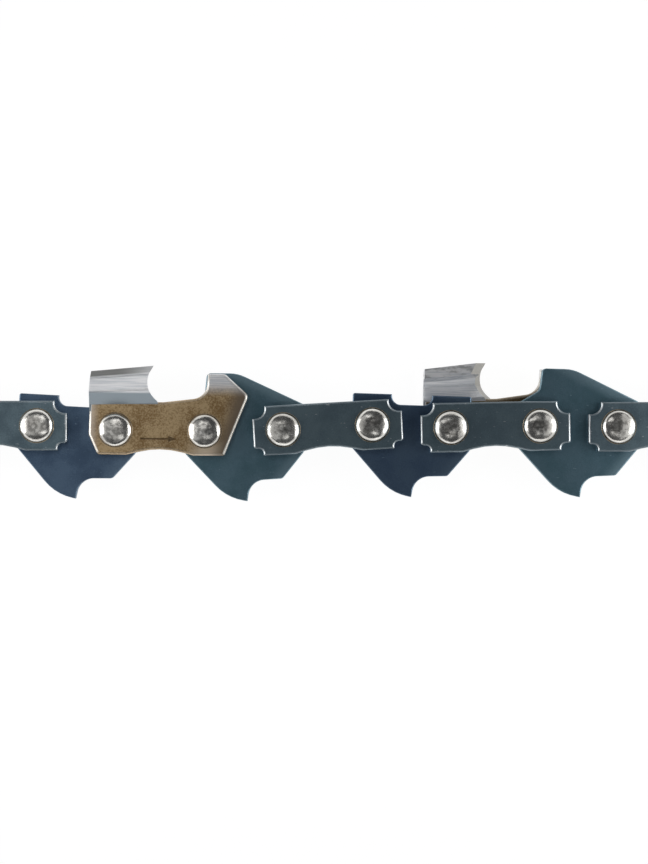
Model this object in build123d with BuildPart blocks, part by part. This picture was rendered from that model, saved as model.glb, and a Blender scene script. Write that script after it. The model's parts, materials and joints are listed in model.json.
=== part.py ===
from build123d import *
import os
from math import tan, radians

# A low-profile saw chain closed into a loop, lying on its side.
# A link's own frame has its rear rivet at the origin, X along the travel, Y away from the guide bar
# and Z along the rivets. Sizes are in millimetres and degrees.

# Chain standard
drive_link_count = 28
drive_link_span = 8.7
side_link_span = 9.9
gauge = 1.1
plate_thickness = 1.1
running_clearance = 0.05

# Rivets
hub_radius = 1.5
head_radius = 1.95
head_height = 0.65
plain_sides = 6

# Drive link: ends, tang and hook below the rivets
end_reach = 2.25
cheek_depth = 2.5
heel_x, heel_depth, heel_rounding = 2.35, 7.5, 5.5
tang_tip_x, tang_depth, tang_tip_rounding = 4.6, 7.88, 0.1
hook_root_x, hook_depth, hook_rounding = 4.95, 5.6, 1.9
toe_x, toe_depth, toe_rounding = 8.55, 5.42, 0.5

# Drive link without a bumper: two shoulders with a dip between them
shoulder_height = 3.5
dip_depth = 1.15
dip_half_width = 2.25
dip_rounding = 1.02

# Drive link with a bumper: a hump that slopes down ahead
bumper_rear_height = 2.6
ramp_x, ramp_height, ramp_rounding = 0.0, 3.95, 0.9
hump_rear_x, hump_height, hump_rounding = 0.3, 6.42, 0.5
hump_front_x, hump_front_height, hump_front_rounding = 3.7, 6.36, 4
bumper_front_height = 2.85

# Tie strap: a waisted plate with notched corners
strap_half_height = 2.75
strap_end_reach = 3.35
notch_reach = 1.95
top_notch_depth, top_notch_rounding = 1.35, 1.2
bottom_notch_depth, bottom_notch_rounding = 0.85, 0.75
waist_rise = 0.95
waist_half_width = 3.75
waist_rounding = 10

# Cutter chassis: heel, gullet, depth gauge and nose
heel_reach = 2.97
heel_corner_depth = 0.5
heel_foot_reach = 1.96
gullet_x, gullet_height = 5.3, 3.13
gullet_rise, gullet_rounding = 0.57, 1.7
gauge_rear_inset = 0.32
gauge_rear_lean = 0.22
gauge_height = 6.33
gauge_front_reach = 2.2
nose_reach = 4.85
nose_height = 3.95
nose_rounding = 0.45
front_foot_reach = 2.2

# Cutter tooth: a strip bent over the drive links, filed at a slant
tooth_length = 7.75
tooth_rise = 0.68
root_height = 2.0
flare_height = 2.75
corner_reach, corner_rise = 2.9, 1.4
bevel_reach, bevel_rise = 2.55, 1.55
crown_reach, crown_rise = 1.7, 0.6
lip_reach, lip_rise = -0.5, 0.25
top_plate_angle = 30
tip_x = 4.15
hook_x, hook_height = 3.6, 5.47
hook_foot_x = 4.72
file_clear_x = 7
file_clear_height = 9

# Lay of the loop: the order of the links, and the tilts of those in the photograph
drive_kinds = ("bumper_drive_link", "plain_drive_link")
side_kinds = ("strap_link", "left_cutter_link", "strap_link", "right_cutter_link")
turn_joints = 10
photographed_tilts = (-3.1, -0.7, 0.8, 3.15, -1.9, 1.0, -0.6)

# Places that follow from the sizes above
inner_face = gauge / 2 + running_clearance
outer_face = inner_face + plate_thickness
bore_radius = hub_radius + running_clearance
half_loop = drive_link_count
last_straight = half_loop - turn_joints
first_photographed = (last_straight - len(photographed_tilts) + 1) // 2
photographed = range(first_photographed, first_photographed + len(photographed_tilts))
half_turn = 180
rest_height = max(corner_reach, outer_face + head_height)


def outline(corners, plain):
    """Closed face through corners given as (x, y, rounding), with sharp corners on a plain link"""
    points = [(x, y) for x, y, rounding in corners]
    roundings = [0 if plain else rounding for x, y, rounding in corners]
    with BuildLine() as border:
        FilletPolyline(*points, radius=roundings, close=True)
    make_face(border.edges())


def round_section(radius, plain, around=False, mode=Mode.ADD):
    """Circle, or on a plain link a polygon inside it, or around it for a bore"""
    if plain:
        RegularPolygon(radius, plain_sides, major_radius=not around, mode=mode)
    else:
        Circle(radius, mode=mode)


def drive_link(bumper, plain):
    """Inner link with a tang that runs in the bar's groove"""
    rear_x = -end_reach
    front_x = drive_link_span + end_reach
    middle_x = drive_link_span / 2
    if bumper:
        top = [
            (rear_x, bumper_rear_height, 0),
            (ramp_x, ramp_height, ramp_rounding),
            (hump_rear_x, hump_height, hump_rounding),
            (hump_front_x, hump_front_height, hump_front_rounding),
            (front_x, bumper_front_height, 0),
        ]
    else:
        dip_y = shoulder_height - dip_depth
        top = [
            (rear_x, shoulder_height, 0),
            (middle_x - dip_half_width, shoulder_height, 0),
            (middle_x - dip_half_width, dip_y, dip_rounding),
            (middle_x + dip_half_width, dip_y, dip_rounding),
            (middle_x + dip_half_width, shoulder_height, 0),
            (front_x, shoulder_height, 0),
        ]
    tang = [
        (front_x, -cheek_depth, 0),
        (toe_x, -toe_depth, toe_rounding),
        (hook_root_x, -hook_depth, hook_rounding),
        (tang_tip_x, -tang_depth, tang_tip_rounding),
        (heel_x, -heel_depth, heel_rounding),
        (rear_x, -cheek_depth, 0),
    ]
    with BuildPart() as link:
        with BuildSketch(Plane.XY.offset(-gauge / 2)):
            outline(top + tang, plain)
            with Locations((0, 0), (drive_link_span, 0)):
                round_section(bore_radius, plain, around=True, mode=Mode.SUBTRACT)
        extrude(amount=gauge)
    return link.part


def waist():
    """Corners of the raised stretch of a side plate's lower edge, from front to rear"""
    foot = -strap_half_height
    middle_x = side_link_span / 2
    return [
        (middle_x + waist_half_width, foot, 0),
        (middle_x, foot + waist_rise, waist_rounding),
        (middle_x - waist_half_width, foot, 0),
    ]


def tie_strap(plain):
    """Side plate on the near face, with all four corners notched"""
    rear_x, front_x = -strap_end_reach, side_link_span + strap_end_reach
    rear_notch, front_notch = -notch_reach, side_link_span + notch_reach
    tab_top = strap_half_height - top_notch_depth
    tab_foot = bottom_notch_depth - strap_half_height
    corners = [
        (rear_x, tab_top, 0),
        (rear_notch, tab_top, top_notch_rounding),
        (rear_notch, strap_half_height, 0),
        (front_notch, strap_half_height, 0),
        (front_notch, tab_top, top_notch_rounding),
        (front_x, tab_top, 0),
        (front_x, tab_foot, 0),
        (front_notch, tab_foot, bottom_notch_rounding),
        (front_notch, -strap_half_height, 0),
        *waist(),
        (rear_notch, -strap_half_height, 0),
        (rear_notch, tab_foot, bottom_notch_rounding),
        (rear_x, tab_foot, 0),
    ]
    with BuildPart() as strap:
        with BuildSketch(Plane.XY.offset(inner_face)):
            outline(corners, plain)
        extrude(amount=plate_thickness)
    return strap.part


def cutter(plain):
    """Right-hand cutter on the near face: chassis plate, and a tooth bent out and over the drive links"""
    nose_x = side_link_span + nose_reach
    gauge_rear_x = side_link_span + gauge_rear_inset
    chassis = [
        (-heel_reach, gullet_height, 0),
        (gullet_x, gullet_height, 0),
        (gauge_rear_x - gauge_rear_lean, gullet_height + gullet_rise, gullet_rounding),
        (gauge_rear_x, gauge_height, 0),
        (side_link_span + gauge_front_reach, gauge_height, 0),
        (nose_x, nose_height, nose_rounding),
        (side_link_span + front_foot_reach, -strap_half_height, 0),
        *waist(),
        (-heel_foot_reach, -strap_half_height, 0),
        (-heel_reach, -heel_corner_depth, 0),
    ]
    corner_height = flare_height + corner_rise
    bevel_height = corner_height + bevel_rise
    crown_height = bevel_height + crown_rise
    bend = [
        (outer_face, root_height),
        (outer_face, flare_height),
        (corner_reach, corner_height),
        (bevel_reach, bevel_height),
        (crown_reach, crown_height),
        (lip_reach, crown_height + lip_rise),
    ]
    heel_plane = Plane(origin=(-heel_reach, 0, 0), x_dir=(0, 0, 1), z_dir=(-1, 0, 0))
    slant = tan(radians(top_plate_angle))
    tip_height = crown_height + tooth_rise
    with BuildPart() as plate:
        with BuildSketch(Plane.XY.offset(inner_face)):
            outline(chassis, plain)
        extrude(amount=plate_thickness)
        with BuildSketch(heel_plane):
            with BuildLine():
                Polyline(*bend)
                offset(amount=plate_thickness, side=Side.LEFT, kind=Kind.INTERSECTION)
            make_face()
        extrude(amount=tooth_length, dir=(tooth_length, tooth_rise, 0))
        with BuildSketch(Plane.XY.offset(crown_reach)) as filed_away:
            with BuildLine():
                Polyline(
                    (hook_foot_x, gullet_height),
                    (file_clear_x, gullet_height + gullet_rise),
                    (file_clear_x, file_clear_height),
                    (tip_x, file_clear_height),
                    (tip_x, tip_height),
                )
                if plain:
                    Polyline((tip_x, tip_height), (hook_x, hook_height), (hook_foot_x, gullet_height))
                else:
                    ThreePointArc((tip_x, tip_height), (hook_x, hook_height), (hook_foot_x, gullet_height))
            make_face()
        extrude(filed_away.sketch, amount=corner_reach - crown_reach, mode=Mode.SUBTRACT)
        top_plate_width = crown_reach - lip_reach + plate_thickness
        extrude(filed_away.sketch, amount=top_plate_width, dir=(-slant, 0, -1), mode=Mode.SUBTRACT)
    return plate.part


def side_link(near_plate, far_plate, plain):
    """Two side plates held by two rivets; the far plate is given as it would be on the near face"""
    with BuildPart() as link:
        add(near_plate)
        mirror(far_plate, about=Plane.XY)
        with BuildSketch(Plane.XY.offset(-inner_face)):
            with Locations((0, 0), (side_link_span, 0)):
                round_section(hub_radius, plain)
        extrude(amount=2 * inner_face)
        for face in (Plane.XY.offset(outer_face), -Plane.XY.offset(-outer_face)):
            with BuildSketch(face):
                with Locations((0, 0), (side_link_span, 0)):
                    round_section(head_radius, plain)
            extrude(amount=head_height)
    return link.part


def links(plain):
    """One link of each kind, by name"""
    strap = tie_strap(plain)
    tooth = cutter(plain)
    return {
        "plain_drive_link": drive_link(False, plain),
        "bumper_drive_link": drive_link(True, plain),
        "strap_link": side_link(strap, strap, plain),
        "right_cutter_link": side_link(tooth, strap, plain),
        "left_cutter_link": side_link(strap, tooth, plain),
    }


def kind_of(index):
    """Kind of the link at a place in the chain, where drive links and side links take turns"""
    kinds = drive_kinds if index % 2 == 0 else side_kinds
    return kinds[index // 2 % len(kinds)]


def span_of(index):
    """Distance between a link's rivets"""
    return drive_link_span if index % 2 == 0 else side_link_span


def heading_of(index):
    """Direction of a link: straight, then round a bend, and the same again turned half round"""
    lap, place = divmod(index, half_loop)
    tilt = photographed_tilts[place - first_photographed] if place in photographed else 0
    turned = max(0, place - last_straight) * half_turn / turn_joints
    return tilt - turned - half_turn * lap


def rear_rivets():
    """Rear rivet of every link, with the middle of the loop at the origin"""
    steps = [Vector(span_of(index), 0).rotate(Axis.Z, heading_of(index)) for index in range(2 * half_loop)]
    place = sum(steps[:half_loop], Vector()) * -0.5
    places = []
    for step in steps:
        places.append(place)
        place += step
    return places


os.makedirs("parts", exist_ok=True)
true_links = links(plain=False)
plain_links = links(plain=True)
for index, rivet in enumerate(rear_rivets()):
    kind = kind_of(index)
    shape = true_links[kind] if index in photographed else plain_links[kind]
    with BuildPart() as piece:
        with Locations(Location((rivet.X, rivet.Y, rest_height), (0, 0, heading_of(index)))):
            add(shape)
    piece.part.label = f"{kind}_{index // 2 + 1:02d}"
    export_step(piece.part, f"parts/{piece.part.label}.step")
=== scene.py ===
import json
from math import ceil, cos, hypot, pi, radians, sin, sqrt, tan

import bmesh
import bpy
from mathutils import Matrix, Vector

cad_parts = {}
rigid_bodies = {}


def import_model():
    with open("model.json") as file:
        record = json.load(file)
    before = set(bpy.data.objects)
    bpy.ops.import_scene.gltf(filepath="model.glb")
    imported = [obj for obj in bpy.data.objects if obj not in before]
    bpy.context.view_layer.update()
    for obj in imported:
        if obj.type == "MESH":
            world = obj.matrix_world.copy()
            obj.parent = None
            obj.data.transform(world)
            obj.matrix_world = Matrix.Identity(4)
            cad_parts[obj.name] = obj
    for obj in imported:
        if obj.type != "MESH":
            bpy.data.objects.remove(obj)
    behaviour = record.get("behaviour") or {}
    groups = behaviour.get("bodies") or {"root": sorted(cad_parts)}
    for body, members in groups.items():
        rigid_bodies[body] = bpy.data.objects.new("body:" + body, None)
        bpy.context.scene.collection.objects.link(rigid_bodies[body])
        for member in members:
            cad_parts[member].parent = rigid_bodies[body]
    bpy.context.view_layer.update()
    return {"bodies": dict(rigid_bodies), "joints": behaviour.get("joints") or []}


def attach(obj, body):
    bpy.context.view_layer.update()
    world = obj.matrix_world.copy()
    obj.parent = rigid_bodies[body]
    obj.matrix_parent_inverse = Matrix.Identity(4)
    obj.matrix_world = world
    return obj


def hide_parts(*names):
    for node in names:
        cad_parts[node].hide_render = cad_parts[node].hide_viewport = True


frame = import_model()

# A length of low-profile saw chain closed into a loop, lying on its side.
# Sizes are in millimetres in a link's own frame: its rear rivet at the origin, X along the travel,
# Y away from the guide bar and Z along the rivets, with the middle of the chain at Z 0.
MM = 0.001

# Chain standard
drive_link_span = 8.7
side_link_span = 9.9
gauge = 1.1
plate_thickness = 1.1
running_clearance = 0.05
inner_face = gauge / 2 + running_clearance
outer_face = inner_face + plate_thickness
rivets_per_link = 2

# How far the parts of one link reach into each other
seat_overlap = 0.02

# Loop: the number of links, and the rivet at which the joints' tree leaves it open
link_count = 56
half_loop = link_count // 2
open_rivet = half_loop + 1

# Rivets: a dome, a narrow groove and a thin flange, and the hub that carries the drive links
hub_radius = 1.5
bore_radius = hub_radius + running_clearance
dome_radius, dome_height, dome_foot = 1.84, 0.82, 0.12
groove_width = 0.02
flange_radius, flange_thickness, flange_chamfer = 1.94, 0.06, 0.03
rivet_sides = 40
dome_rings = 9

# Arcs: degrees to a step, the fewest steps, and the least rounding of a corner drawn inwards
arc_step, least_arc_steps = 8, 3
least_rounding = 0.01

# Rims: the rounding of each kind of plate, and how strong a painted highlight they get where they run along
# the link, against 1 where they run across it and face the lamps
drive_rim, strap_rim, cutter_rim = 0.13, 0.2, 0.28
rim_steps = 3
side_highlight, highlight_falloff = 0.15, 3

# Drive link: ends, tang and hook below the rivets
end_reach = 2.25
cheek_depth, cheek_rounding = 2.5, 0.3
heel_x, heel_depth, heel_rounding = 2.35, 7.5, 5.5
tang_tip_x, tang_depth = 4.6, 7.88
hook_root_x, hook_depth, hook_rounding = 4.95, 5.6, 1.9
toe_x, toe_depth, toe_rounding = 8.55, 5.42, 0.5

# Drive link without a bumper: two shoulders with a dip between them
shoulder_height = 3.5
shoulder_rounding = 0.25
dip_depth = 1.15
dip_half_width = 2.25
dip_rounding = 1.0

# Drive link with a bumper: a hump that slopes down ahead
bumper_rear_height = 2.6
ramp_x, ramp_height, ramp_rounding = 0.0, 3.95, 0.9
hump_rear_x, hump_height, hump_rounding = 0.3, 6.42, 0.5
hump_front_x, hump_front_height, hump_front_rounding = 3.7, 6.36, 4
bumper_front_height = 2.85

# Tie strap: a waisted plate with notched corners
strap_half_height = 2.75
strap_end_reach = 3.35
notch_reach = 1.95
top_notch_depth, top_notch_rounding = 1.35, 1.1
bottom_notch_reach, bottom_notch_depth, bottom_notch_rounding = 2.3, 0.8, 0.55
tab_rounding = 0.35
waist_rise = 0.95
waist_half_width = 3.75
waist_rounding = 10

# Cutter chassis: heel, gullet, depth gauge and nose
heel_reach, heel_corner_depth, heel_corner_rounding = 2.97, 0.5, 0.8
heel_foot_reach, heel_foot_rounding = 1.96, 0.5
heel_top_reach = 2.86
gullet_x, gullet_height = 5.3, 3.13
gullet_rise, gullet_rounding = 0.57, 1.7
gauge_rear_inset, gauge_rear_lean = 0.32, 0.22
gauge_height = 6.33
gauge_front_reach, gauge_front_rounding = 2.2, 0.8
nose_reach, nose_height, nose_rounding = 4.85, 3.95, 0.7
front_foot_reach, front_foot_rounding = 2.2, 0.3

# Cutter tooth: a strip bent over the drive links, rising towards its tip and filed at a slant
tooth_length = 7.1
root_height = 2.0
flare_height, flare_rounding = 2.75, 0.2
flare_rise, lip_rise = 0.2, 0.7
corner_reach, corner_height, corner_rounding = 2.9, 4.15, 0.35
bevel_reach, bevel_height, bevel_rounding = 2.55, 5.7, 0.6
crown_reach, crown_height, crown_rounding = 1.7, 6.48, 0.3
lip_reach, lip_height = -0.5, 6.55
inner_rounding = 0.2
tooth_heel_reach, heel_lean = 2.9, 0.18
top_plate_angle = 30
tip_x, tip_height = 4.24, 7.2
hook_x, hook_height = 3.6, 5.47
hook_foot_x, hook_foot_height = 4.72, 3.16
bend_steps = 6
strip_step = 0.3
tooth_stations = 14

# Arrow struck into the cutter, which points the way that the chain travels
arrow_tail_x, arrow_tip_x, arrow_y = 2.8, 6.8, -0.93
arrow_head_length = 0.9
arrow_half_height = 0.32
arrow_shaft_half = 0.09
arrow_depth = 0.07

# Shading: edges that turn by more degrees stay sharp, and faces that look along the rivets stay flat
sharp_angle = 38
flat_normal = 0.999

# Sockets of a Mix node that blends colours
mix_share, mix_first, mix_second, mix_result = 0, 6, 7, 2

# Colours as the eight-bit values that a screen shows
screen_white, screen_gamma = 255, 2.2
# Each edge colour serves the nicks, the lighter fronts and the painted highlight on the rims
navy_dark, navy_pale, navy_edge = (70, 88, 110), (88, 108, 130), (130, 152, 170)
teal_dark, teal_pale, teal_edge = (80, 107, 118), (101, 128, 142), (150, 176, 188)
slate_dark, slate_pale, slate_edge = (87, 103, 112), (110, 128, 137), (232, 236, 238)
brown_dark, brown_pale = (138, 112, 77), (190, 165, 127)
heel_tan, foot_tan, nose_brown = (220, 204, 186), (216, 200, 178), (124, 110, 94)
# Both colours on the next line are painted shade: on the inner faces, and on the floor of the sunk arrow
inner_shade_brown, arrow_shade_brown = (84, 74, 60), (64, 50, 36)
chrome_dark, chrome_pale = (220, 223, 227), (250, 250, 251)
# The middle colour on the next line is painted shade on the tooth's crown
flare_grey, crown_shade_grey, blotch_grey = (148, 159, 167), (84, 84, 80), (110, 110, 108)
# The last colour on the next line is the near white of the painted highlight on the cutter's rims
filed_grey, cutter_highlight_white = (166, 164, 158), (240, 236, 228)
nickel_dark, nickel_pale = (205, 202, 196), (228, 226, 220)
pit_grey, flange_brown = (98, 96, 92), (138, 127, 110)

# Noises: waves to a millimetre, detail and, where a noise is squeezed or drawn out, how much on each axis
blued_cloud, blued_grain = (0.35, 4.0), (7.0, 2.0)
blued_nicks = (1.6, 2.0, (1.0, 3.0, 1.0))
cutter_cloud, cutter_grain = (0.5, 4.0), (6.0, 3.0)
cutter_blotches = (0.9, 4.0, (1.0, 2.0, 1.0))
rivet_dents, rivet_grain, rivet_pits = (0.55, 1.5), (6.0, 2.0), (2.4, 3.0)
streak_waves, streak_detail, streak_squeeze = 2.2, 3.0, (0.12, 2.5, 2.5)

# Grain of both kinds of plate, in millimetres
plate_grain_depth = 0.012

# In the finishes a fade gives where a tone starts and where it is full, and a share how much of it shows.
# Blued steel: cloudy tone, nicks, and lighter fronts on the bumper's slope and the toe of the tang
blued_grain_share, blued_tones = 0.25, (0.36, 0.64)
nick_fade, nick_share = (0.7, 0.76), 0.5
slope_along, slope_up, slope_fade = 0.44, 0.9, (5.9, 7.3)
toe_along, toe_down, toe_fade = 0.78, 0.63, (8.6, 10.1)
blued_metal, blued_roughness, blued_polish = 0.85, 0.48, 0.1

# Cutter's chassis: brown steel, paler at the heel and the front foot, darker at the nose, with painted
# shade on the inner faces and on the floor of the sunk arrow
cutter_grain_share, cutter_tones = 0.55, (0.38, 0.62)
heel_fade = (-1.6, -3.0)
foot_fade_x, foot_fade_y, foot_share = (7.5, 10.0), (-0.5, -2.4), 0.9
nose_lean, nose_fade = 0.3, (10.8, 13.0)
# Painted shade on the inner faces, which lie between the links
inner_shade_fade, inner_shade_share = (1.2, 0.8), 0.7
# Painted shade on the floor of the sunk arrow: where it lies, and how much shows
arrow_rear_fade, arrow_front_fade = (2.5, 2.7), (7.1, 6.9)
arrow_foot_fade, arrow_top_fade = (-1.6, -1.4), (-0.3, -0.5)
arrow_floor_fade, arrow_shade_share = (1.68, 1.65), 0.7
chassis_metal, chassis_roughness = 0.8, 0.42
# Painted highlight on the chassis rims: how much of its near white shows, and how much smoother the rims
# are
cutter_highlight_share, cutter_highlight_polish = 0.85, 0.08

# Cutter's chrome: streaked, grey on the flare, with a band of painted shade at the crown, blotched on the
# lip
streak_tones = (0.35, 0.65)
flare_fade_y, flare_lean, flare_fade_z = (4.3, 4.0), 0.87, (-1.4, -1.0)
# Painted shade along the crown, strongest at the heel
crown_shade_rise, crown_shade_fade_y = 0.09, (5.9, 6.15)
crown_shade_fade_x, crown_shade_fade_z, crown_shade_share = (7.5, 0.0), (1.0, 1.6), 0.85
blotch_fade, blotch_share = (0.46, 0.64), 0.45
plated_fade = (3.7, 5.6)
plated_metal_loss, plated_polish = 0.25, 0.06

# Rivet: an uneven nickelled dome, pitted where it was peened, and a browner flange
dent_tones, dent_depth = (0.35, 0.65), 0.9
peened_fade, peened_roughness = (1.3, 0.8), 0.08
pit_fade, pit_share, pit_depth = (0.38, 0.6), 0.6, 0.12
flange_fade = (1.8, 1.86)
rivet_metal, rivet_roughness, rivet_grain_roughness = 1.0, 0.16, 0.1
rivet_grain_depth, rivet_bump_depth = 0.03, 0.2

# Photograph: its height in pixels, its scale, and its middle measured from a strap's rear rivet
photo_height = 864
pixels_per_mm = 9.04
photographed_strap = 9
middle_ahead, middle_below = 4.53, 0.24
camera_lens, camera_sensor = 90, 36
camera_near = 0.01

# Studio, in metres: a white floor, a wall that stands half above it, and the room's own light
wall_distance, wall_height, wall_sides = 8, 7.5, 64
paper_colour = (0.8, 0.8, 0.8, 1.0)
white_strength, white_share = 1.12, 0.85
white_rays = ("Camera", "Glossy", "Transmission")
room_colour, room_strength = (0.5, 0.52, 0.55, 1.0), 0.12

# Lamps, in metres from the middle of the picture, with their power in watts
lamps = {
    "left_low": dict(place=(-0.3125, 0, 0.119), aim=(-0.04, 0, 0), width=0.25, depth=0.225, power=0.44),
    "left_high": dict(place=(-0.055, 0, 0.04), aim=(-0.055, 0, 0), width=0.08, depth=0.06, power=0.006),
    "right_low": dict(place=(0.3125, 0, 0.119), aim=(0.04, 0, 0), width=0.25, depth=0.225, power=0.44),
    "right_high": dict(place=(0.07, 0, 0.036), aim=(0.07, 0, 0), width=0.06, depth=0.07, power=0.008),
    "rear": dict(place=(-0.02, 0.06, 0.12), aim=(-0.02, 0, 0), width=0.06, depth=0.03, power=0.008),
    "near": dict(place=(0.016, -0.05, 0.11), aim=(0.016, 0, 0), width=0.05, depth=0.03, power=0.006),
    "front": dict(place=(-0.02, -0.3, 0.07), aim=(-0.02, 0, 0), width=0.4, depth=0.1, power=0.056),
}


class Wire:
    """A socket in a node tree; arithmetic on wires adds Math nodes"""

    def __init__(self, tree, socket=None):
        self.tree = tree
        self.socket = socket

    def plug(self, node, sockets):
        """Gives a node's sockets their values, or links from other wires"""
        for key, value in sockets.items():
            for item in value if isinstance(value, list) else [value]:
                if isinstance(item, Wire):
                    self.tree.links.new(item.socket, node.inputs[key])
                else:
                    node.inputs[key].default_value = item

    def node(self, kind, settings=None, sockets=None, output=0):
        """Output of a new node in the same tree: its settings come first, then its sockets"""
        node = self.tree.nodes.new(kind)
        for name, value in (settings or {}).items():
            setattr(node, name, value)
        self.plug(node, sockets or {})
        return Wire(self.tree, node.outputs[output]) if node.outputs else None

    def maths(self, operation, *values):
        return self.node("ShaderNodeMath", {"operation": operation}, dict(enumerate(values)))

    def __add__(self, other):
        return self.maths("ADD", self, other)

    def __radd__(self, other):
        return self.maths("ADD", other, self)

    def __sub__(self, other):
        return self.maths("SUBTRACT", self, other)

    def __rsub__(self, other):
        return self.maths("SUBTRACT", other, self)

    def __mul__(self, other):
        return self.maths("MULTIPLY", self, other)

    def __rmul__(self, other):
        return self.maths("MULTIPLY", other, self)

    def __abs__(self):
        return self.maths("ABSOLUTE", self)


def rounded(corners, arc_steps=None):
    """Points along corners given as (x, y, rounding), with an arc at each rounding"""
    points = []
    for index, (x, y, rounding) in enumerate(corners):
        corner = Vector((x, y))
        if rounding == 0:
            points.append(corner)
            continue
        back = (Vector(corners[index - 1][:2]) - corner).normalized()
        ahead = (Vector(corners[(index + 1) % len(corners)][:2]) - corner).normalized()
        half = back.angle(ahead) / 2
        turn = pi - 2 * half
        if back.cross(ahead) > 0:
            turn = -turn
        centre = corner + (back + ahead).normalized() * rounding / sin(half)
        spoke = corner + back * rounding / tan(half) - centre
        steps = arc_steps or max(least_arc_steps, ceil(abs(turn) / radians(arc_step)))
        for step in range(steps + 1):
            points.append(centre + Matrix.Rotation(turn * step / steps, 2) @ spoke)
    return points


def ring(radius, x=0, sides=rivet_sides):
    """Points of a circle around a rivet"""
    turns = [2 * pi * side / sides for side in range(sides)]
    return [Vector((x + radius * cos(turn), radius * sin(turn))) for turn in turns]


def layer(elements, name):
    """A mesh's layer of numbers, made on first use"""
    return elements.layers.float.get(name) or elements.layers.float.new(name)


def fill(bm, loops, height):
    """Flat triangles inside the first loop and outside the others, and the loops' vertices"""
    rings = []
    edges = []
    for loop in loops:
        verts = [bm.verts.new((point.x, point.y, height)) for point in loop]
        edges += [bm.edges.new((verts[index - 1], verts[index])) for index in range(len(verts))]
        rings.append(verts)
    bmesh.ops.triangle_fill(bm, use_beauty=True, use_dissolve=False, edges=edges)
    return rings


def walls(bm, lower, upper):
    """Quads between two rings of as many vertices"""
    faces = []
    for index in range(len(lower)):
        faces.append(bm.faces.new((lower[index - 1], lower[index], upper[index], upper[index - 1])))
    return faces


def inset(corners, distance):
    """The same outline drawn inwards; its corners run clockwise"""
    drawn = []
    for index, (x, y, rounding) in enumerate(corners):
        corner = Vector((x, y))
        along = (corner - Vector(corners[index - 1][:2])).normalized()
        ahead = (Vector(corners[(index + 1) % len(corners)][:2]) - corner).normalized()
        inwards = Vector((along.y + ahead.y, -along.x - ahead.x)) / (1 + along.dot(ahead))
        if rounding:
            growth = distance if along.cross(ahead) > 0 else -distance
            rounding = max(rounding + growth, least_rounding)
        drawn.append((*(corner + inwards * distance), rounding))
    return drawn


def plate(bm, corners, low, high, rim, bores=(), stamp=None):
    """Plate with rounded and marked rims, bores through it, and a stamp sunk into its upper face"""
    mark = layer(bm.faces, "rim")
    turns = [step / rim_steps * pi / 2 for step in range(rim_steps + 1)]
    levels = [(rim * (1 - cos(turn)), low + rim * (1 - sin(turn))) for turn in reversed(turns)]
    levels += [(rim * (1 - cos(turn)), high - rim * (1 - sin(turn))) for turn in turns]
    borders = [rounded(inset(corners, inwards)) for inwards, height in levels]
    lower = fill(bm, [borders[0], *bores], low)
    upper = fill(bm, [borders[-1], *bores] + ([stamp] if stamp else []), high)
    rings = [lower[0]]
    for border, (inwards, height) in list(zip(borders, levels))[1:-1]:
        rings.append([bm.verts.new((point.x, point.y, height)) for point in border])
    rings.append(upper[0])
    # The rim mark is the strength of a painted highlight, strongest on rims that face the lamps at the ends
    for step, (low_ring, high_ring) in enumerate(zip(rings, rings[1:])):
        for face in walls(bm, low_ring, high_ring):
            if step != rim_steps:
                along = (face.verts[1].co - face.verts[0].co).xy.normalized()
                face[mark] = side_highlight + (1 - side_highlight) * abs(along.y) ** highlight_falloff
    for low_ring, high_ring in zip(lower[1:], upper[1:]):
        walls(bm, low_ring, high_ring)
    if stamp:
        floor = fill(bm, [stamp], high - arrow_depth)
        walls(bm, floor[0], upper[-1])


def drive_link(bumper):
    """Inner link with a tang that runs in the bar's groove"""
    rear_x = -end_reach
    front_x = drive_link_span + end_reach
    middle_x = drive_link_span / 2
    dip_y = shoulder_height - dip_depth
    if bumper:
        top = [
            (rear_x, bumper_rear_height, 0),
            (ramp_x, ramp_height, ramp_rounding),
            (hump_rear_x, hump_height, hump_rounding),
            (hump_front_x, hump_front_height, hump_front_rounding),
            (front_x, bumper_front_height, 0),
        ]
    else:
        top = [
            (rear_x, shoulder_height, shoulder_rounding),
            (middle_x - dip_half_width, shoulder_height, 0),
            (middle_x - dip_half_width, dip_y, dip_rounding),
            (middle_x + dip_half_width, dip_y, dip_rounding),
            (middle_x + dip_half_width, shoulder_height, 0),
            (front_x, shoulder_height, shoulder_rounding),
        ]
    tang = [
        (front_x, -cheek_depth, cheek_rounding),
        (toe_x, -toe_depth, toe_rounding),
        (hook_root_x, -hook_depth, hook_rounding),
        (tang_tip_x, -tang_depth, 0),
        (heel_x, -heel_depth, heel_rounding),
        (rear_x, -cheek_depth, cheek_rounding),
    ]
    bm = bmesh.new()
    bores = [ring(bore_radius), ring(bore_radius, drive_link_span)]
    plate(bm, top + tang, -gauge / 2, gauge / 2, drive_rim, bores)
    return bm


def waist():
    """Corners of the raised stretch of a side plate's lower edge, from front to rear"""
    foot = -strap_half_height
    middle_x = side_link_span / 2
    return [
        (middle_x + waist_half_width, foot, 0),
        (middle_x, foot + waist_rise, waist_rounding),
        (middle_x - waist_half_width, foot, 0),
    ]


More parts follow.
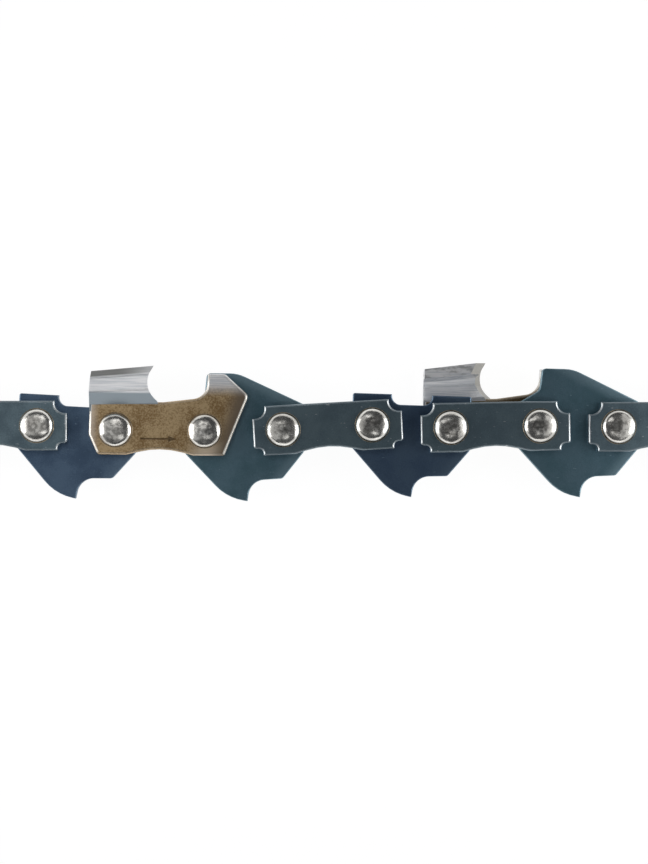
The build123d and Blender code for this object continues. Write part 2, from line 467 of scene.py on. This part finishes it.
def tie_strap():
    """Side plate on the near face, with all four corners notched"""
    rear_x, front_x = -strap_end_reach, side_link_span + strap_end_reach
    rear_notch, front_notch = -notch_reach, side_link_span + notch_reach
    tab_top = strap_half_height - top_notch_depth
    tab_foot = bottom_notch_depth - strap_half_height
    corners = [
        (rear_x, tab_top, 0),
        (rear_notch, tab_top, top_notch_rounding),
        (rear_notch, strap_half_height, 0),
        (front_notch, strap_half_height, 0),
        (front_notch, tab_top, top_notch_rounding),
        (front_x, tab_top, 0),
        (front_x, tab_foot, tab_rounding),
        (side_link_span + bottom_notch_reach, tab_foot, bottom_notch_rounding),
        (side_link_span + bottom_notch_reach, -strap_half_height, 0),
        *waist(),
        (-bottom_notch_reach, -strap_half_height, 0),
        (-bottom_notch_reach, tab_foot, bottom_notch_rounding),
        (rear_x, tab_foot, tab_rounding),
    ]
    bm = bmesh.new()
    plate(bm, corners, inner_face, outer_face, strap_rim)
    return bm


def arrow():
    """Outline of the travel arrow"""
    neck_x = arrow_tip_x - arrow_head_length
    corners = [
        (arrow_tail_x, arrow_shaft_half),
        (arrow_tail_x, -arrow_shaft_half),
        (neck_x, -arrow_shaft_half),
        (neck_x, -arrow_half_height),
        (arrow_tip_x, 0),
        (neck_x, arrow_half_height),
        (neck_x, arrow_shaft_half),
    ]
    return [Vector((x, arrow_y + y)) for x, y in corners]


def hook_line():
    """Front of the tooth's outer face by its height, along a circle through tip, hook and foot"""
    ax, ay = tip_x, tip_height
    bx, by = hook_x, hook_height
    cx, cy = hook_foot_x, hook_foot_height
    divisor = 2 * (ax * (by - cy) + bx * (cy - ay) + cx * (ay - by))
    a, b, c = ax * ax + ay * ay, bx * bx + by * by, cx * cx + cy * cy
    middle_x = (a * (by - cy) + b * (cy - ay) + c * (ay - by)) / divisor
    middle_y = (a * (cx - bx) + b * (ax - cx) + c * (bx - ax)) / divisor
    radius = hypot(ax - middle_x, ay - middle_y)

    def front(height):
        inside = min(max(height, hook_foot_height), tip_height)
        return middle_x - sqrt(radius * radius - (inside - middle_y) ** 2)

    return front


def inner_bends(bends, thickness):
    """The same bends on the inner face of a strip"""
    points = [Vector(bend[:2]) for bend in bends]
    across = []
    for start, end in zip(points, points[1:]):
        along = (end - start).normalized()
        across.append(Vector((-along.y, along.x)))
    inner = []
    for index, (point, bend) in enumerate(zip(points, bends)):
        before = across[max(index - 1, 0)]
        after = across[min(index, len(across) - 1)]
        offset = (before + after) / (1 + before.dot(after)) * thickness
        inner.append((*(point + offset), min(bend[2], inner_rounding)))
    return inner


def stepped(points, counts):
    """The same line with each stretch cut into so many steps"""
    line = points[:1]
    for start, end, count in zip(points, points[1:], counts):
        line += [start.lerp(end, step / count) for step in range(1, count + 1)]
    return line


def tooth_shell(bm, line, outer_line):
    """One face of the tooth: a row of vertices from heel to front for each point of a bent line"""
    chrome = layer(bm.verts, "chrome")
    front = hook_line()
    slant = tan(radians(top_plate_angle))
    shell = []
    for point, outside in zip(line, outer_line):
        share = min(max((point.y - flare_height) / (lip_height - flare_height), 0), 1)
        rear_x = heel_lean * share - tooth_heel_reach
        rise = flare_rise + (lip_rise - flare_rise) * share
        set_back = max(crown_reach - outside.x, 0) + max(outside.x - point.x, 0)
        front_x = front(point.y + rise) - set_back * slant
        row = []
        for station in range(tooth_stations + 1):
            x = rear_x + (front_x - rear_x) * station / tooth_stations
            height = point.y + rise * (x - rear_x) / tooth_length
            vert = bm.verts.new((x, height, point.x))
            vert[chrome] = 1
            row.append(vert)
        shell.append(row)
    return shell


def tooth(bm):
    """Strip that flares out of the chassis and bends over the drive links, filed to a hook in front"""
    filed, sheared = layer(bm.faces, "filed"), layer(bm.faces, "sheared")
    outer_bends = [
        (outer_face - seat_overlap, root_height, 0),
        (outer_face - seat_overlap, flare_height, flare_rounding),
        (corner_reach, corner_height, corner_rounding),
        (bevel_reach, bevel_height, bevel_rounding),
        (crown_reach, crown_height, crown_rounding),
        (lip_reach, lip_height, 0),
    ]
    thickness = plate_thickness - 2 * seat_overlap
    outer_line = rounded(outer_bends, bend_steps)
    inner_line = rounded(inner_bends(outer_bends, thickness), bend_steps)
    stretches = zip(outer_line, outer_line[1:])
    counts = [max(ceil((end - start).length / strip_step), 1) for start, end in stretches]
    outer_line, inner_line = stepped(outer_line, counts), stepped(inner_line, counts)
    shells = [tooth_shell(bm, line, outer_line) for line in (outer_line, inner_line)]
    outer, inner = shells
    last = len(outer) - 1
    for index in range(last):
        for station in range(tooth_stations):
            for shell in shells:
                lower, upper = shell[index], shell[index + 1]
                bm.faces.new((lower[station], lower[station + 1], upper[station + 1], upper[station]))
        for station in (0, tooth_stations):
            end = bm.faces.new((outer[index][station], outer[index + 1][station],
                                inner[index + 1][station], inner[index][station]))
            end[filed] = station == tooth_stations
    for index in (0, last):
        for station in range(tooth_stations):
            end = bm.faces.new((outer[index][station], outer[index][station + 1],
                                inner[index][station + 1], inner[index][station]))
            end[sheared] = index == last


def cutter():
    """Right-hand cutter on the near face: chassis plate and tooth"""
    gauge_rear_x = side_link_span + gauge_rear_inset
    corners = [
        (-heel_top_reach, gullet_height, 0),
        (gullet_x, gullet_height, 0),
        (gauge_rear_x - gauge_rear_lean, gullet_height + gullet_rise, gullet_rounding),
        (gauge_rear_x, gauge_height, 0),
        (side_link_span + gauge_front_reach, gauge_height, gauge_front_rounding),
        (side_link_span + nose_reach, nose_height, nose_rounding),
        (side_link_span + front_foot_reach, -strap_half_height, front_foot_rounding),
        *waist(),
        (-heel_foot_reach, -strap_half_height, heel_foot_rounding),
        (-heel_reach, -heel_corner_depth, heel_corner_rounding),
    ]
    bm = bmesh.new()
    plate(bm, corners, inner_face, outer_face, cutter_rim, stamp=arrow())
    tooth(bm)
    return bm


def lathe(profile):
    """Closed round body from (radius, height) points, from the axis at the top to the axis at the foot"""
    bm = bmesh.new()
    top, *steps, foot = profile
    rings = []
    for radius, height in steps:
        rings.append([bm.verts.new((point.x, point.y, height)) for point in ring(radius)])
    for upper, lower in zip(rings, rings[1:]):
        walls(bm, lower, upper)
    for pole, loop in ((top, rings[0]), (foot, rings[-1])):
        middle = bm.verts.new((0, 0, pole[1]))
        for index in range(len(loop)):
            bm.faces.new((loop[index - 1], loop[index], middle))
    return bm


def rivet_head():
    """Peened head: a dome, a narrow groove and a flange that lies on the plate"""
    profile = [(0, dome_height)]
    for step in range(1, dome_rings + 1):
        turn = step / dome_rings * pi / 2
        height = dome_foot + (dome_height - dome_foot) * cos(turn)
        profile.append((dome_radius * sin(turn), height))
    profile += [
        (dome_radius + groove_width, flange_thickness),
        (flange_radius - flange_chamfer, flange_thickness),
        (flange_radius, flange_thickness - flange_chamfer),
        (flange_radius, -seat_overlap),
        (0, -seat_overlap),
    ]
    return lathe(profile)


def hub():
    """Shank between the side plates"""
    end = inner_face + seat_overlap
    return lathe([(0, end), (hub_radius, end), (hub_radius, -end), (0, -end)])


def pattern_part(name, bm, far=False):
    """Object of a link's part, with each point's place in the link kept on the mesh"""
    if far:
        bmesh.ops.scale(bm, vec=(1, 1, -1), verts=bm.verts)
    bmesh.ops.recalc_face_normals(bm, faces=bm.faces)
    bmesh.ops.scale(bm, vec=(MM, MM, MM), verts=bm.verts)
    mesh = bpy.data.meshes.new(name)
    bm.to_mesh(mesh)
    bm.free()
    part = bpy.data.objects.new(name, mesh)
    bpy.context.collection.objects.link(part)
    places = part.data.attributes.new("link_place", "FLOAT_VECTOR", "POINT")
    for vert in part.data.vertices:
        places.data[vert.index].vector = vert.co / MM
    return part


def new_tree(name, inputs):
    """Geometry Nodes tree with named inputs, the bench for its nodes, and the inputs' wires by name"""
    tree = bpy.data.node_groups.new(name, "GeometryNodeTree")
    for label, kind in inputs.items():
        tree.interface.new_socket(label, in_out="INPUT", socket_type=f"NodeSocket{kind}")
    tree.interface.new_socket("Geometry", in_out="OUTPUT", socket_type="NodeSocketGeometry")
    bench = Wire(tree)
    return tree, bench, {label: bench.node("NodeGroupInput", output=label) for label in inputs}


def laid(bench, geometry, inputs):
    """Geometry moved from the link's own frame to its place in the loop, as the tree's result"""
    turn = bench.node("ShaderNodeCombineXYZ", sockets={"Z": inputs["Heading"]})
    moved = bench.node("GeometryNodeTransform", sockets={
        "Geometry": geometry, "Translation": inputs["Place"], "Rotation": turn})
    bench.node("NodeGroupOutput", sockets={"Geometry": moved})


def shape_of(bench, source):
    """Geometry of the object that one of a tree's inputs names"""
    return bench.node("GeometryNodeObjectInfo", sockets={"Object": source}, output="Geometry")


def in_steel(bench, geometry, steel):
    """Geometry with its instances made real, in one material"""
    whole = bench.node("GeometryNodeRealizeInstances", sockets={"Geometry": geometry})
    return bench.node("GeometryNodeSetMaterial", sockets={"Geometry": whole, "Material": steel})


def drive_link_tree():
    """Tree that lays one drive link in the loop"""
    tree, bench, inputs = new_tree("Drive link", {
        "Link": "Object", "Place": "Vector", "Heading": "Float", "Steel": "Material"})
    link = in_steel(bench, shape_of(bench, inputs["Link"]), inputs["Steel"])
    laid(bench, link, inputs)
    return tree


def side_link_tree():
    """Tree that rivets two plates together and lays them in the loop"""
    tree, bench, inputs = new_tree("Side link", {
        "Near plate": "Object", "Far plate": "Object", "Rivet head": "Object", "Hub": "Object",
        "Span": "Float", "Head place": "Float", "Place": "Vector", "Heading": "Float",
        "Near steel": "Material", "Far steel": "Material", "Rivet steel": "Material"})
    pieces = []
    for side in ("Near", "Far"):
        shape = shape_of(bench, inputs[f"{side} plate"])
        pieces.append(in_steel(bench, shape, inputs[f"{side} steel"]))
    step = bench.node("ShaderNodeCombineXYZ", sockets={"X": inputs["Span"]})
    near_head = inputs["Head place"]
    forms = [("Rivet head", near_head, 0), ("Rivet head", 0 - near_head, pi), ("Hub", 0, 0)]
    riveted = []
    for part, height, turn in forms:
        start = bench.node("ShaderNodeCombineXYZ", sockets={"Z": height})
        line = bench.node("GeometryNodeMeshLine", sockets={
            "Count": rivets_per_link, "Start Location": start, "Offset": step})
        riveted.append(bench.node("GeometryNodeInstanceOnPoints", sockets={
            "Points": line, "Instance": shape_of(bench, inputs[part]), "Rotation": (turn, 0, 0)}))
    joined = bench.node("GeometryNodeJoinGeometry", sockets={"Geometry": riveted})
    pieces.append(in_steel(bench, joined, inputs["Rivet steel"]))
    laid(bench, bench.node("GeometryNodeJoinGeometry", sockets={"Geometry": pieces}), inputs)
    return tree


def grown(name, tree, values):
    """Plain mesh piece from a Geometry Nodes tree and the values of its inputs"""
    piece = bpy.data.objects.new(name, bpy.data.meshes.new(name))
    bpy.context.collection.objects.link(piece)
    modifier = piece.modifiers.new("links", "NODES")
    modifier.node_group = tree
    for item in tree.interface.items_tree:
        if item.in_out == "INPUT":
            modifier[item.identifier] = values[item.name]
    evaluated = piece.evaluated_get(bpy.context.evaluated_depsgraph_get())
    mesh = bpy.data.meshes.new_from_object(evaluated)
    piece.modifiers.clear()
    piece.data = mesh
    while mesh.materials[0] is None:
        mesh.materials.pop(index=0)
    mesh.set_sharp_from_angle(angle=radians(sharp_angle))
    for face in mesh.polygons:
        face.use_smooth = abs(face.normal.z) < flat_normal
    return piece


def new_finish(name):
    """Material with a metal shader, the bench for its other nodes, and the shader"""
    material = bpy.data.materials.new(name)
    material.use_nodes = True
    shader = material.node_tree.nodes["Principled BSDF"]
    return material, Wire(material.node_tree), shader


def colour(red, green, blue):
    """Linear colour from the eight-bit values that a screen shows"""
    return tuple((value / screen_white) ** screen_gamma for value in (red, green, blue)) + (1.0,)


def mixed(bench, share, first, second):
    """Colour between two others, each a wire or the values that a screen shows"""
    ends = [end if isinstance(end, Wire) else colour(*end) for end in (first, second)]
    sockets = {mix_share: share, mix_first: ends[0], mix_second: ends[1]}
    return bench.node("ShaderNodeMix", {"data_type": "RGBA"}, sockets, output=mix_result)


def between(bench, value, fade):
    """Smooth step from 0 at the start of a fade to 1 at its end"""
    start, end = fade
    return bench.node("ShaderNodeMapRange", {"interpolation_type": "SMOOTHSTEP"},
                      {"Value": value, "From Min": start, "From Max": end})


def noise(bench, waves, detail, squeeze=None):
    """Noise over the piece, at so many waves to a millimetre"""
    where = bench.node("ShaderNodeTexCoord", output="Object")
    if squeeze:
        where = bench.node("ShaderNodeMapping", sockets={"Vector": where, "Scale": squeeze})
    return bench.node("ShaderNodeTexNoise", sockets={
        "Vector": where, "Scale": waves / MM, "Detail": detail})


def cloudy(bench, cloud, grain, grain_share, tones):
    """Uneven tone of slow clouds and fine grain"""
    return between(bench, cloud * (1 - grain_share) + grain * grain_share, tones)


def place_in_link(bench):
    """Place in the link in millimetres, as one wire"""
    return bench.node("ShaderNodeAttribute", {"attribute_name": "link_place"}, output="Vector")


def axes_in_link(bench):
    """Place in the link in millimetres, as a wire for each axis"""
    place = place_in_link(bench)
    return [bench.node("ShaderNodeSeparateXYZ", sockets={"Vector": place}, output=axis) for axis in "XYZ"]


def rolled(bench):
    """Fine streaks along the link, as a rolled strip shows them"""
    drawn = bench.node("ShaderNodeMapping", sockets={
        "Vector": place_in_link(bench), "Scale": streak_squeeze})
    return bench.node("ShaderNodeTexNoise", sockets={
        "Vector": drawn, "Scale": streak_waves, "Detail": streak_detail})


def mark_of(bench, name):
    """How much a spot carries one of the marks that the mesh was given"""
    return bench.node("ShaderNodeAttribute", {"attribute_name": name}, output="Fac")


def bumped(bench, height, depth):
    """Normal of a surface with small dents, so many millimetres deep"""
    return bench.node("ShaderNodeBump", sockets={"Height": height, "Distance": depth * MM}, output="Normal")


def blued_steel(name, dark, pale, edge, front_light, rim_highlight_share):
    """Blued plate with a cloudy tone, fine grain, small bright nicks and rims painted paler as a highlight
    """
    material, bench, shader = new_finish(name)
    x, y = axes_in_link(bench)[:2]
    grain = noise(bench, *blued_grain)
    tone = cloudy(bench, noise(bench, *blued_cloud), grain, blued_grain_share, blued_tones)
    base = mixed(bench, tone, dark, pale)
    slope = between(bench, x * slope_along + y * slope_up, slope_fade)
    toe = between(bench, x * toe_along - y * toe_down, toe_fade)
    base = mixed(bench, (slope + toe) * front_light, base, edge)
    nicks = between(bench, noise(bench, *blued_nicks), nick_fade)
    # Painted highlight: the rims take the edge colour, more where they face the lamps
    rim = mark_of(bench, "rim")
    base = mixed(bench, nicks * nick_share + rim * rim_highlight_share, base, edge)
    bench.plug(shader, {
        "Base Color": base,
        "Metallic": blued_metal,
        "Roughness": blued_roughness - tone * blued_polish - rim * blued_polish,
        "Normal": bumped(bench, grain, plate_grain_depth),
    })
    return material


def cutter_steel():
    """Tempered brown chassis, chromed tooth and a depth gauge that fades from one to the other"""
    material, bench, shader = new_finish("cutter_steel")
    x, y, z = axes_in_link(bench)
    depth = abs(z)
    marks = ("chrome", "filed", "sheared", "rim")
    chrome, filed, sheared, rim = [mark_of(bench, name) for name in marks]
    grain = noise(bench, *cutter_grain)
    tone = cloudy(bench, noise(bench, *cutter_cloud), grain, cutter_grain_share, cutter_tones)
    chassis = mixed(bench, tone, brown_dark, brown_pale)
    chassis = mixed(bench, between(bench, x, heel_fade), chassis, heel_tan)
    front_foot = between(bench, x, foot_fade_x) * between(bench, y, foot_fade_y)
    chassis = mixed(bench, front_foot * foot_share, chassis, foot_tan)
    nose = between(bench, x - y * nose_lean, nose_fade)
    chassis = mixed(bench, nose, chassis, nose_brown)
    # Painted shade: the inner faces, between the links, are darkened
    inside = between(bench, depth, inner_shade_fade)
    chassis = mixed(bench, inside * inner_shade_share, chassis, inner_shade_brown)
    # Painted shade on the floor of the sunk arrow
    arrow_length = between(bench, x, arrow_rear_fade) * between(bench, x, arrow_front_fade)
    arrow_width = between(bench, y, arrow_foot_fade) * between(bench, y, arrow_top_fade)
    arrow_shade_mask = arrow_length * arrow_width * between(bench, depth, arrow_floor_fade)
    chassis = mixed(bench, arrow_shade_mask * (1 - inside) * arrow_shade_share, chassis, arrow_shade_brown)
    streaks = between(bench, rolled(bench), streak_tones)
    silver = mixed(bench, streaks, chrome_dark, chrome_pale)
    flare = between(bench, y, flare_fade_y) * between(bench, depth - y * flare_lean, flare_fade_z)
    silver = mixed(bench, flare * chrome, silver, flare_grey)
    # Painted shade: a dark band along the crown that fades towards the front
    crown_shade = between(bench, y - x * crown_shade_rise, crown_shade_fade_y) * between(bench, x, crown_shade_fade_x)
    crown_shade = crown_shade * between(bench, depth, crown_shade_fade_z)
    silver = mixed(bench, crown_shade * chrome * crown_shade_share, silver, crown_shade_grey)
    blotches = between(bench, noise(bench, *cutter_blotches), blotch_fade)
    silver = mixed(bench, sheared * blotches * blotch_share, silver, blotch_grey)
    silver = mixed(bench, filed, silver, filed_grey)
    plated = between(bench, y, plated_fade) * (1 - chrome) + chrome
    base = mixed(bench, plated, chassis, silver)
    # Painted highlight: the chassis rims turn near white where the rim mark is strong
    rim_highlight = rim * (1 - chrome)
    base = mixed(bench, rim_highlight * cutter_highlight_share, base, cutter_highlight_white)
    bench.plug(shader, {
        "Base Color": base,
        "Metallic": chassis_metal - plated * plated_metal_loss,
        "Roughness": chassis_roughness - plated * plated_polish - rim_highlight * cutter_highlight_polish,
        "Normal": bumped(bench, grain, plate_grain_depth),
    })
    return material


def rivet_steel():
    """Nickelled rivet, bright but uneven where it was peened, with a browner flange"""
    material, bench, shader = new_finish("rivet_steel")
    x, y = axes_in_link(bench)[:2]
    reach = bench.maths("SQRT", x * x + y * y)
    dents, grain, pits = [noise(bench, *kind) for kind in (rivet_dents, rivet_grain, rivet_pits)]
    peened = between(bench, reach, peened_fade)
    dome = mixed(bench, between(bench, dents, dent_tones), nickel_dark, nickel_pale)
    dome = mixed(bench, peened * between(bench, pits, pit_fade) * pit_share, dome, pit_grey)
    base = mixed(bench, between(bench, reach, flange_fade), dome, flange_brown)
    relief = dents * dent_depth + grain * rivet_grain_depth + pits * peened * pit_depth
    bench.plug(shader, {
        "Base Color": base,
        "Metallic": rivet_metal,
        "Roughness": grain * rivet_grain_roughness + peened * peened_roughness + rivet_roughness,
        "Normal": bumped(bench, relief, rivet_bump_depth),
    })
    return material


def link_index(number, side):
    """Place of a link in the loop; a drive link and the side link after it have the same number"""
    return 2 * (int(number) - 1) + side


def rivet_places():
    """Rear rivet of each link, read from the joints; the open one lies opposite its twin"""
    places = {}
    for joint in frame["joints"]:
        sort, number = joint["name"].split("_link_")
        index = link_index(number[:2], sort == "side")
        rivet = index if index <= half_loop else (index + 1) % link_count
        places[rivet] = Vector(joint["pos_m"])
    twin = places[open_rivet - half_loop]
    places[open_rivet] = Vector((-twin.x, -twin.y, twin.z))
    return places


def backdrop():
    """White floor that keeps a faint shadow, and a low wall of the same white far behind it"""
    material = bpy.data.materials.new("studio_white")
    material.use_nodes = True
    material.node_tree.nodes.clear()
    bench = Wire(material.node_tree)
    paper = bench.node("ShaderNodeBsdfDiffuse", sockets={"Color": paper_colour})
    white = bench.node("ShaderNodeEmission", sockets={"Strength": white_strength})
    rays = [bench.node("ShaderNodeLightPath", output=f"Is {kind} Ray") for kind in white_rays]
    seen = bench.maths("MINIMUM", sum(rays), 1)
    surface = bench.node("ShaderNodeMixShader", sockets={0: seen * white_share, 1: paper, 2: white})
    bench.node("ShaderNodeOutputMaterial", sockets={"Surface": surface})
    bpy.ops.mesh.primitive_plane_add(size=2 * wall_distance)
    floor = bpy.context.object
    floor.name = "studio_floor"
    bpy.ops.mesh.primitive_cylinder_add(
        vertices=wall_sides, radius=wall_distance, depth=wall_height, end_fill_type="NOTHING")
    wall = bpy.context.object
    wall.name = "studio_wall"
    for sheet in (floor, wall):
        sheet.data.materials.append(material)


def softbox(name, place, aim, width, depth, power):
    """Rectangular lamp that faces a point"""
    lamp = bpy.data.lights.new(name, "AREA")
    lamp.shape = "RECTANGLE"
    lamp.size = width
    lamp.size_y = depth
    lamp.energy = power
    stand = bpy.data.objects.new(name, lamp)
    stand.location = place
    stand.rotation_euler = (aim - place).to_track_quat("-Z", "Y").to_euler()
    stand.visible_camera = False
    bpy.context.collection.objects.link(stand)


def studio(middle):
    """Soft light from both ends of the chain, and a dim room above it"""
    world = bpy.data.worlds.new("studio_room")
    world.use_nodes = True
    room = world.node_tree.nodes["Background"]
    room.inputs["Color"].default_value = room_colour
    room.inputs["Strength"].default_value = room_strength
    bpy.context.scene.world = world
    for name, lamp in lamps.items():
        place, aim = middle + Vector(lamp["place"]), middle + Vector(lamp["aim"])
        softbox(f"{name}_softbox", place, aim, lamp["width"], lamp["depth"], lamp["power"])


def camera(middle):
    """Camera straight above the photographed stretch, at the photograph's scale"""
    data = bpy.data.cameras.new("photo_camera")
    data.lens = camera_lens
    data.sensor_width = camera_sensor
    data.clip_start = camera_near
    stand = bpy.data.objects.new("photo_camera", data)
    distance = photo_height / pixels_per_mm * MM * camera_lens / camera_sensor
    stand.location = middle + Vector((0, 0, distance + (outer_face + dome_foot) * MM))
    bpy.context.collection.objects.link(stand)
    bpy.context.scene.camera = stand


patterns = {
    "plain_drive_link": pattern_part("plain_drive_link_pattern", drive_link(False)),
    "bumper_drive_link": pattern_part("bumper_drive_link_pattern", drive_link(True)),
    "near_strap": pattern_part("near_strap_pattern", tie_strap()),
    "far_strap": pattern_part("far_strap_pattern", tie_strap(), far=True),
    "near_cutter": pattern_part("near_cutter_pattern", cutter()),
    "far_cutter": pattern_part("far_cutter_pattern", cutter(), far=True),
    "rivet_head": pattern_part("rivet_head_pattern", rivet_head()),
    "hub": pattern_part("hub_pattern", hub()),
}
# The last argument of each finish is the share of the painted highlight on the rims
navy = blued_steel("navy_steel", navy_dark, navy_pale, navy_edge, front_light=0.25, rim_highlight_share=0.5)
teal = blued_steel("teal_steel", teal_dark, teal_pale, teal_edge, front_light=0.45, rim_highlight_share=0.5)
slate = blued_steel("slate_steel", slate_dark, slate_pale, slate_edge, front_light=0.0, rim_highlight_share=0.85)
tempered = cutter_steel()
nickel = rivet_steel()

drive_tree = drive_link_tree()
side_tree = side_link_tree()
plates = {"strap_link": ("strap", "strap"), "right_cutter_link": ("cutter", "strap"),
          "left_cutter_link": ("strap", "cutter")}
steels = {"plain_drive_link": navy, "bumper_drive_link": teal, "strap": slate, "cutter": tempered}
rivets = rivet_places()
for body in frame["bodies"]:
    kind, number = body.rsplit("_", 1)
    index = link_index(number, kind in plates)
    place = rivets[index]
    ahead = rivets[(index + 1) % link_count] - place
    values = {"Place": place, "Heading": ahead.xy.angle_signed(Vector((1, 0)))}
    if kind in plates:
        near, far = plates[kind]
        values |= {
            "Near plate": patterns[f"near_{near}"], "Far plate": patterns[f"far_{far}"],
            "Rivet head": patterns["rivet_head"], "Hub": patterns["hub"],
            "Span": side_link_span * MM, "Head place": outer_face * MM,
            "Near steel": steels[near], "Far steel": steels[far], "Rivet steel": nickel,
        }
        piece = grown(f"{body}_dressed", side_tree, values)
    else:
        values |= {"Link": patterns[kind], "Steel": steels[kind]}
        piece = grown(f"{body}_dressed", drive_tree, values)
    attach(piece, body)
    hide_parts(body)
for part in patterns.values():
    bpy.data.objects.remove(part)

strap_rivet = rivets[photographed_strap]
middle = strap_rivet + Vector((middle_ahead, -middle_below, 0)) * MM
backdrop()
studio(middle)
camera(middle)
bpy.context.scene.view_settings.view_transform = "Standard"
